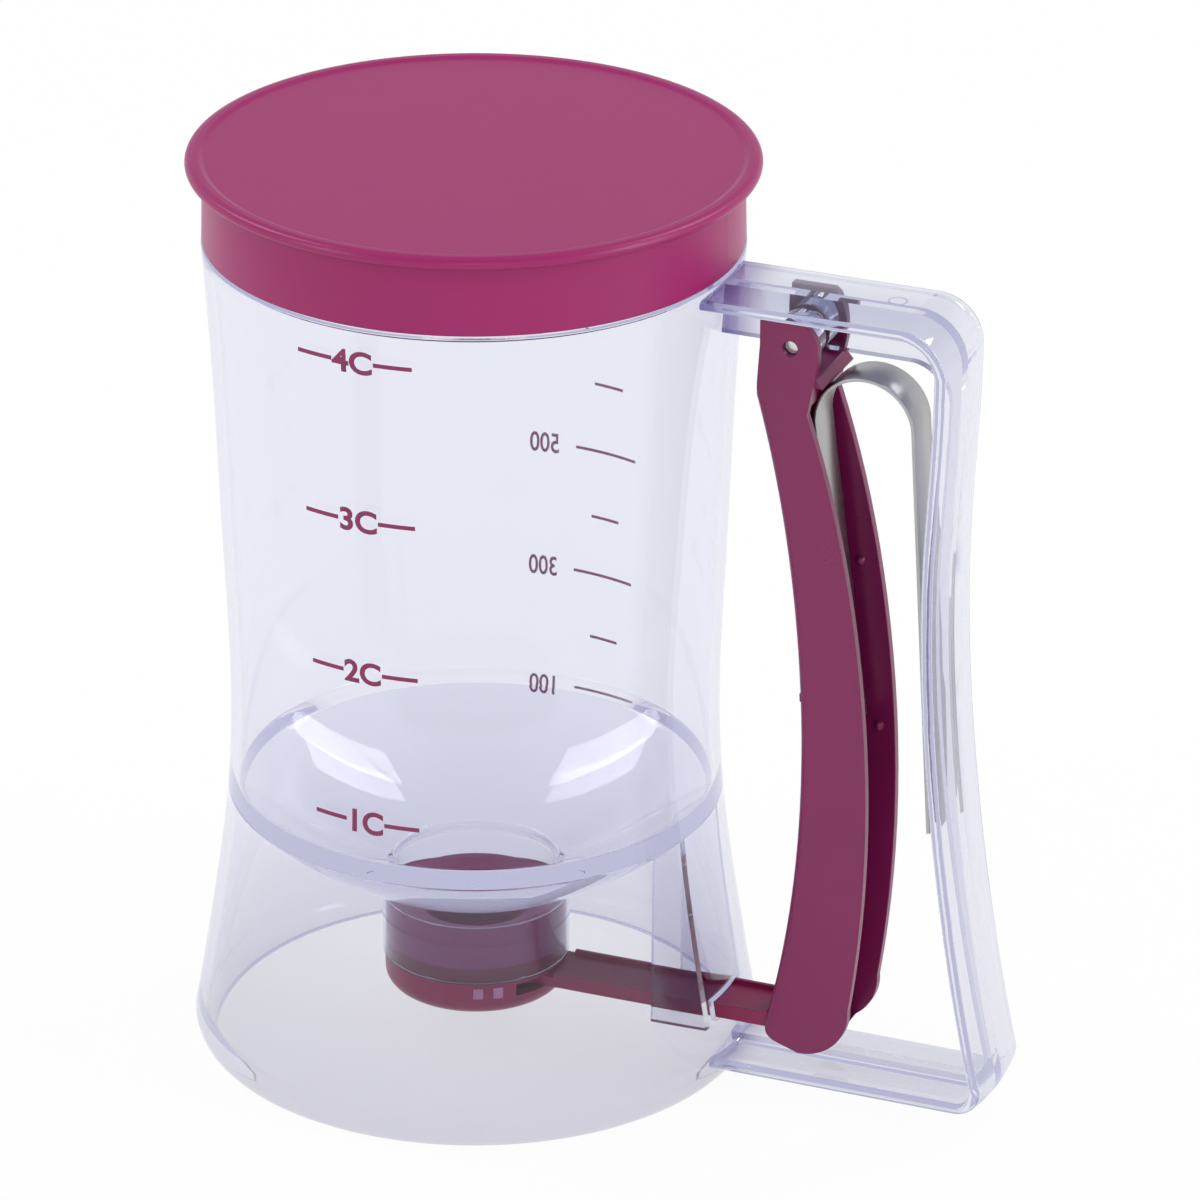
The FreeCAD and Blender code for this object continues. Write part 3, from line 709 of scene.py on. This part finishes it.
def wrap_tree():
    """Geometry Nodes: dashes on points and figures, wrapped round the jug's wall."""
    tree, given, result = geometry_tree("wrapped_marks", ("Wall", "Figures"), (
        ("Wrap Radius", MARK_RADIUS / 1000), ("Ink Lift", INK_LIFT / 1000)))
    join = tree.links.new

    def scaled(vector, share):
        node = tree.nodes.new("ShaderNodeVectorMath")
        node.operation = "SCALE"
        join(vector, node.inputs[0])
        if isinstance(share, float):
            node.inputs["Scale"].default_value = share
        else:
            join(share, node.inputs["Scale"])
        return node.outputs[0]

    def added(first, second):
        node = tree.nodes.new("ShaderNodeVectorMath")
        join(first, node.inputs[0])
        join(second, node.inputs[1])
        return node.outputs[0]

    dash = tree.nodes.new("GeometryNodeMeshGrid")
    for label, value in (("Size X", 1.0), ("Size Y", 1.0), ("Vertices X", DASH_POINTS), ("Vertices Y", 2)):
        dash.inputs[label].default_value = value
    upright = tree.nodes.new("GeometryNodeTransform")
    upright.inputs["Rotation"].default_value = (math.pi / 2, 0, 0)
    join(dash.outputs["Mesh"], upright.inputs["Geometry"])
    span = tree.nodes.new("GeometryNodeInputNamedAttribute")
    span.data_type = "FLOAT_VECTOR"
    span.inputs["Name"].default_value = "dash_size"
    place = tree.nodes.new("GeometryNodeInstanceOnPoints")
    join(given.outputs["Geometry"], place.inputs["Points"])
    join(upright.outputs[0], place.inputs["Instance"])
    join(span.outputs["Attribute"], place.inputs["Scale"])
    real = tree.nodes.new("GeometryNodeRealizeInstances")
    join(place.outputs[0], real.inputs[0])
    figures = tree.nodes.new("GeometryNodeObjectInfo")
    join(given.outputs["Figures"], figures.inputs["Object"])
    both = tree.nodes.new("GeometryNodeJoinGeometry")
    join(real.outputs[0], both.inputs[0])
    join(figures.outputs["Geometry"], both.inputs[0])

    parts = tree.nodes.new("ShaderNodeSeparateXYZ")
    join(tree.nodes.new("GeometryNodeInputPosition").outputs[0], parts.inputs[0])
    angle = math_node(tree, "DIVIDE", parts.outputs["X"], given.outputs["Wrap Radius"])
    outward = tree.nodes.new("ShaderNodeCombineXYZ")
    join(math_node(tree, "COSINE", angle), outward.inputs["X"])
    join(math_node(tree, "SINE", angle), outward.inputs["Y"])
    level = tree.nodes.new("ShaderNodeCombineXYZ")
    join(parts.outputs["Z"], level.inputs["Z"])
    wall = tree.nodes.new("GeometryNodeObjectInfo")
    join(given.outputs["Wall"], wall.inputs["Object"])
    ray = tree.nodes.new("GeometryNodeRaycast")
    join(wall.outputs["Geometry"], ray.inputs["Target Geometry"])
    join(added(scaled(outward.outputs[0], RAY_START), level.outputs[0]), ray.inputs["Source Position"])
    join(scaled(outward.outputs[0], -1.0), ray.inputs["Ray Direction"])
    ray.inputs["Ray Length"].default_value = RAY_REACH
    lift = scaled(outward.outputs[0], given.outputs["Ink Lift"])
    move = tree.nodes.new("GeometryNodeSetPosition")
    join(both.outputs[0], move.inputs["Geometry"])
    join(added(ray.outputs["Hit Position"], lift), move.inputs["Position"])
    colour = tree.nodes.new("GeometryNodeSetMaterial")
    join(move.outputs[0], colour.inputs["Geometry"])
    join(given.outputs["Finish"], colour.inputs["Material"])
    join(colour.outputs[0], result.inputs[0])
    return tree


WRAP = wrap_tree()


def along(azimuth):
    """Distance round the wrapping circle, in millimetres."""
    return math.radians(azimuth) * MARK_RADIUS


def figure_mesh(name, rows, azimuth, tall, wide, weight):
    """The rows' figures, flat in the XZ plane and cut fine enough to wrap."""
    sheet = bmesh.new()
    for height, words in rows:
        words_curve = bpy.data.curves.new("figure", "FONT")
        words_curve.body = words
        words_curve.align_x = "CENTER"
        words_curve.size = 1.0
        words_curve.offset = weight
        words_curve.resolution_u = 6
        holder = placed("figure", words_curve)
        data = evaluated_mesh(holder)
        low = min(v.co.y for v in data.vertices)
        high = max(v.co.y for v in data.vertices)
        size = tall / 1000 / (high - low)
        data.transform(Matrix.Translation((0, -(low + high) / 2, 0)))
        data.transform(Matrix.Diagonal((size * wide, size, size, 1)))
        data.transform(Matrix.Rotation(math.pi / 2, 4, "X"))
        data.transform(Matrix.Translation(mm(along(azimuth), 0, height)))
        sheet.from_mesh(data)
        bpy.data.objects.remove(holder)
    bmesh.ops.remove_doubles(sheet, verts=sheet.verts, dist=1e-7)
    bmesh.ops.triangulate(sheet, faces=sheet.faces)
    for _ in range(FIGURE_ROUNDS):
        long_edges = [e for e in sheet.edges if e.calc_length() > FIGURE_EDGE]
        bmesh.ops.subdivide_edges(sheet, edges=long_edges, cuts=1)
        bmesh.ops.triangulate(sheet, faces=sheet.faces)
    data = bpy.data.meshes.new(name)
    sheet.to_mesh(data)
    sheet.free()
    return placed(name, data)


def printed(name, dashes, figures, ink):
    """One printed scale: dashes are (from, to, height, thickness) in degrees and millimetres."""
    data = bpy.data.meshes.new(name)
    middle = [mm(along((a + b) / 2), 0, z) for a, b, z, _ in dashes]
    data.from_pydata(middle, [], [])
    sizes = data.attributes.new("dash_size", "FLOAT_VECTOR", "POINT")
    for k, (a, b, _, thick) in enumerate(dashes):
        sizes.data[k].vector = (along(b - a) / 1000, 1.0, thick / 1000)
    piece = placed(name, data)
    nodes_on(piece, WRAP, Wall=jug, Figures=figures, Finish=ink)
    layer = piece.modifiers.new("ink", "SOLIDIFY")
    layer.thickness = INK_T / 1000
    layer.offset = 1
    baked(piece)
    face_out(piece)
    bpy.data.objects.remove(figures)
    painted(piece, ink)
    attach(piece, "jug")


cup_dashes = [(a, b, z, CUP_DASH_T) for z, _ in CUP_ROWS for a, b in CUP_DASHES]
cup_figures = figure_mesh("cup_figures", CUP_ROWS, CUP_TEXT, CUP_TEXT_TALL,
                          CUP_TEXT_WIDE, CUP_TEXT_WEIGHT)
printed("cup_scale", cup_dashes, cup_figures, INK_FRONT)
litre_dashes = [(*LITRE_LONG_SPAN, z, LITRE_DASH_T) for z, _ in LITRE_LONG]
litre_dashes += [(*LITRE_SHORT_SPAN, z, LITRE_DASH_T) for z in LITRE_SHORT]
litre_figures = figure_mesh("millilitre_figures", LITRE_LONG, LITRE_TEXT, LITRE_TEXT_TALL,
                            LITRE_TEXT_WIDE, LITRE_TEXT_WEIGHT)
printed("millilitre_scale", litre_dashes, litre_figures, INK_BACK_PAINTED_LIGHT)


# Small moulded marks: the ejector's ring on the top bar and two clips on the cap

def arc_tab(name, radius, heights, azimuths, proud):
    """A small raised tab on a round side, with softened edges."""
    inside, outside = radius - CLIP_SINK, radius + proud
    section = softened([(inside, heights[0]), (outside, heights[0]),
                        (outside, heights[1]), (inside, heights[1])], {1, 2}, CLIP_EDGE)
    verts = []
    for k in range(CLIP_STEPS + 1):
        angle = math.radians(azimuths[0] + (azimuths[1] - azimuths[0]) * k / CLIP_STEPS)
        verts += [(r * math.cos(angle), r * math.sin(angle), z) for r, z in section]
    n = len(section)
    faces = [tuple(range(n)), tuple(range(CLIP_STEPS * n + n - 1, CLIP_STEPS * n - 1, -1))]
    for k in range(CLIP_STEPS):
        for i in range(n):
            j = (i + 1) % n
            faces.append((k * n + i, (k + 1) * n + i, (k + 1) * n + j, k * n + j))
    piece = mesh_piece(name, verts, faces)
    face_out(piece)
    smooth(piece)
    return piece


for k, (start, end) in enumerate(CLIP_SPANS):
    clip = arc_tab("cap_clip_%d" % (k + 1), CAP_R, CLIP_Z, (start, end), CLIP_PROUD)
    painted(clip, CLIP_PALE)
    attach(clip, "jug")

inside, outside, proud = EJECTOR_RING
ring_line = [(inside, 0), (outside, 0), (outside, proud), (inside, proud)]
ring = turned("ejector_ring", softened(ring_line, {2, 3}, EJECTOR_EDGE), EJECTOR_TURNS)
ring.data.transform(Matrix.Translation(mm(*EJECTOR_AT)))
smooth(ring, 60)
painted(ring, HANDLE_CLEAR)
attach(ring, "jug")


# Finishes of the CAD nodes that stay

for node, material in (("lid", LID_PLUM), ("trigger", TRIGGER_PLUM), ("valve_slide", VALVE_PLUM),
                       ("valve_seat", SEAT_PLUM), ("retainer_cap", VALVE_PLUM),
                       ("handle_frame", HANDLE_CLEAR), ("pivot_pin", PIN_STEEL)):
    node_painted(node, material)


# Stage: floor, world, lamps, camera

def bounced_ray(tree, path):
    """1 for a ray that comes off a mirror or through clear plastic."""
    return math_node(tree, "MAXIMUM", path.outputs["Is Glossy Ray"],
                     path.outputs["Is Transmission Ray"])


def white_share(tree):
    """How white the floor is by itself: most to the camera, less in a mirror or through plastic."""
    path = tree.nodes.new("ShaderNodeLightPath")
    direct = math_node(tree, "MULTIPLY", path.outputs["Is Camera Ray"], FLOOR_TO_CAMERA)
    bounced = math_node(tree, "MULTIPLY", bounced_ray(tree, path), FLOOR_TO_BOUNCE)
    return math_node(tree, "MAXIMUM", direct, bounced)


def make_floor():
    floor = mesh_piece("floor", [(-9000, -9000, 0), (9000, -9000, 0), (9000, 9000, 0), (-9000, 9000, 0)],
                       [(0, 1, 2, 3)])
    material = bpy.data.materials.new("floor_white")
    material.use_nodes = True
    tree = material.node_tree
    shader = tree.nodes["Principled BSDF"]
    shader.inputs["Base Color"].default_value = (0.86, 0.86, 0.87, 1)
    shader.inputs["Roughness"].default_value = 0.9
    shader.inputs["Specular IOR Level"].default_value = 0.1
    glow = tree.nodes.new("ShaderNodeEmission")
    seen = shader_blend(tree, white_share(tree), shader.outputs[0], glow.outputs[0])
    tree.links.new(seen, tree.nodes["Material Output"].inputs[0])
    painted(floor, material)


def make_world():
    world = bpy.data.worlds.new("studio")
    bpy.context.scene.world = world
    world.use_nodes = True
    tree = world.node_tree
    plain = tree.nodes["Background"]
    plain.inputs["Color"].default_value = (0.93, 0.95, 1.0, 1)
    plain.inputs["Strength"].default_value = 0.55
    height = tree.nodes.new("ShaderNodeSeparateXYZ")
    tree.links.new(tree.nodes.new("ShaderNodeTexCoord").outputs["Generated"], height.inputs[0])
    ramp = tree.nodes.new("ShaderNodeValToRGB")
    tree.links.new(height.outputs["Z"], ramp.inputs[0])
    stops = ramp.color_ramp.elements
    for stop, (spot, colour) in zip((stops[0], stops[1]), SKY):
        stop.position = spot
        stop.color = colour
    for spot, colour in SKY[2:]:
        stops.new(spot).color = colour
    sky = tree.nodes.new("ShaderNodeBackground")
    tree.links.new(ramp.outputs[0], sky.inputs["Color"])
    white = tree.nodes.new("ShaderNodeBackground")
    white.inputs["Color"].default_value = (1, 1, 1, 1)
    path = tree.nodes.new("ShaderNodeLightPath")
    lit = shader_blend(tree, bounced_ray(tree, path), plain.outputs[0], sky.outputs[0])
    seen = shader_blend(tree, path.outputs["Is Camera Ray"], lit, white.outputs[0])
    tree.links.new(seen, tree.nodes["World Output"].inputs[0])


def row_frame(vector):
    """Turns a vector that runs to the camera's right, away from it and up into the shared frame."""
    return Matrix.Rotation(HANDLE_TURN, 3, "Z") @ Vector(vector)


def soft_lamp(name, place, aim, wide, tall, watts):
    lamp = bpy.data.lights.new(name, "AREA")
    lamp.shape = "RECTANGLE"
    lamp.size, lamp.size_y = wide, tall
    lamp.energy = watts
    holder = placed(name, lamp)
    spot, target = row_frame(place), row_frame(aim)
    holder.location = spot
    holder.rotation_euler = (target - spot).to_track_quat("-Z", "Y").to_euler()


def make_camera():
    tilt, turn, roll = CAMERA_TILT, CAMERA_TURN, CAMERA_ROLL
    forward = Vector((math.sin(turn) * math.cos(tilt), math.cos(turn) * math.cos(tilt), -math.sin(tilt)))
    right = Vector((math.cos(turn), -math.sin(turn), 0))
    down = forward.cross(right)
    right, down = (right * math.cos(roll) + down * math.sin(roll),
                   down * math.cos(roll) - right * math.sin(roll))
    columns = [row_frame(right), row_frame(-down), row_frame(-forward)]
    data = bpy.data.cameras.new("camera")
    data.sensor_width = 36
    data.lens = CAMERA_LENS
    data.clip_start, data.clip_end = 0.05, 40
    camera = placed("camera", data)
    pose = Matrix(columns).transposed().to_4x4()
    pose.translation = row_frame(mm(0, -CAMERA_BACK, CAMERA_HIGH))
    camera.matrix_world = pose
    bpy.context.scene.camera = camera


make_floor()
make_world()
make_camera()
for lamp_row in LAMPS:
    soft_lamp(*lamp_row)

view = bpy.context.scene.view_settings
view.view_transform = "Standard"
